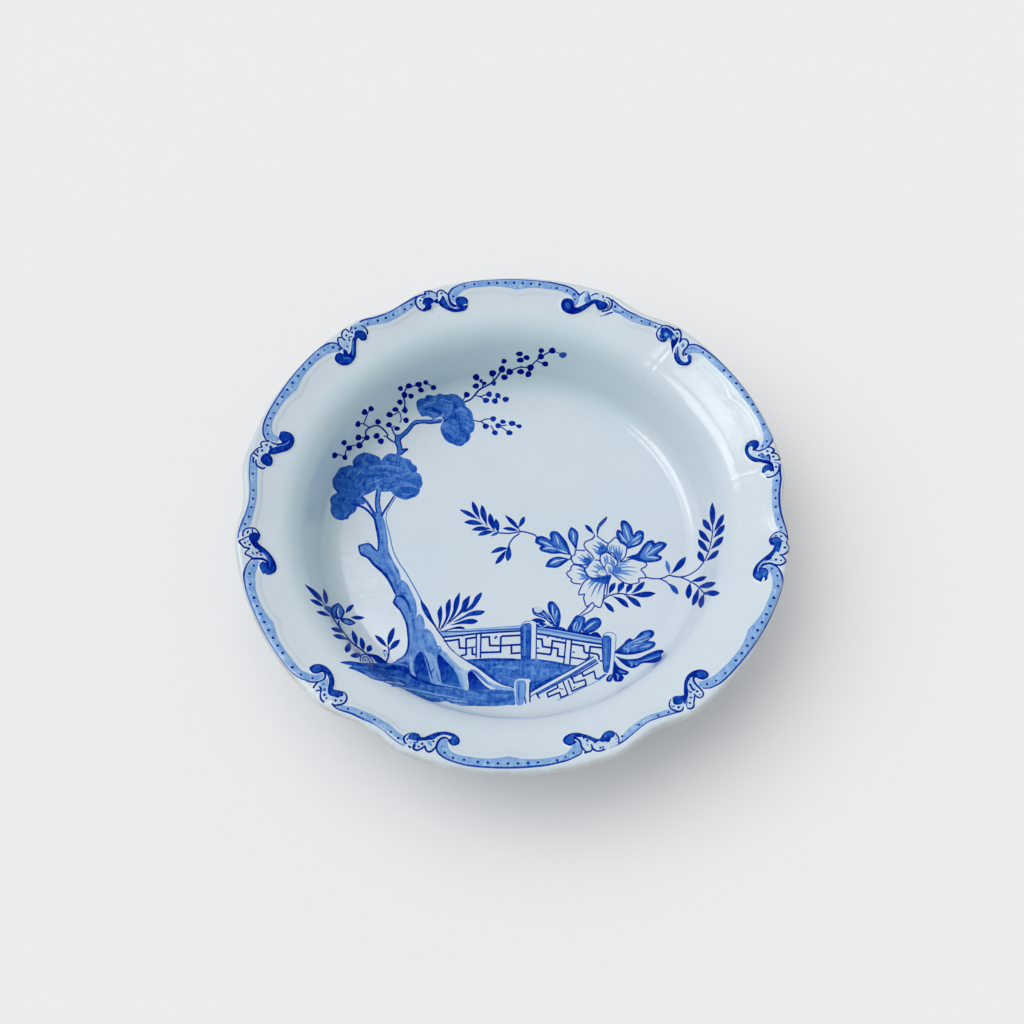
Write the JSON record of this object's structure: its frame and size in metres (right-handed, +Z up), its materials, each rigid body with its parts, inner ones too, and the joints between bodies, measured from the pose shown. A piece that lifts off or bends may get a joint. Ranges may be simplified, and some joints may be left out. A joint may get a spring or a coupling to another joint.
{
  "type": "deep serving dish",
  "caption": "Round deep serving dish of glazed earthenware with a lobed, moulded rim, a flat well, steep walls and a foot ring, for serving and holding food.",
  "frame": {"origin": "centre of the plane that the dish stands on, under the middle of the well", "axes": "+Z up, out of the mouth of the dish; +Y towards the middle of one broad lobe of the rim, which is the top of the painted picture; +X to the right of that picture"},
  "size_m": [0.2952, 0.299, 0.0579],
  "materials": {
    "glazed_body": "glossy pale blue-white tin glaze over earthenware, painted in cobalt blue",
    "foot": "glazed sides, bare worn clay on the standing edge"
  },
  "bodies": {
    "root": {"dish_body": "glazed_body", "foot_ring": "foot"}
  },
  "joints": []
}
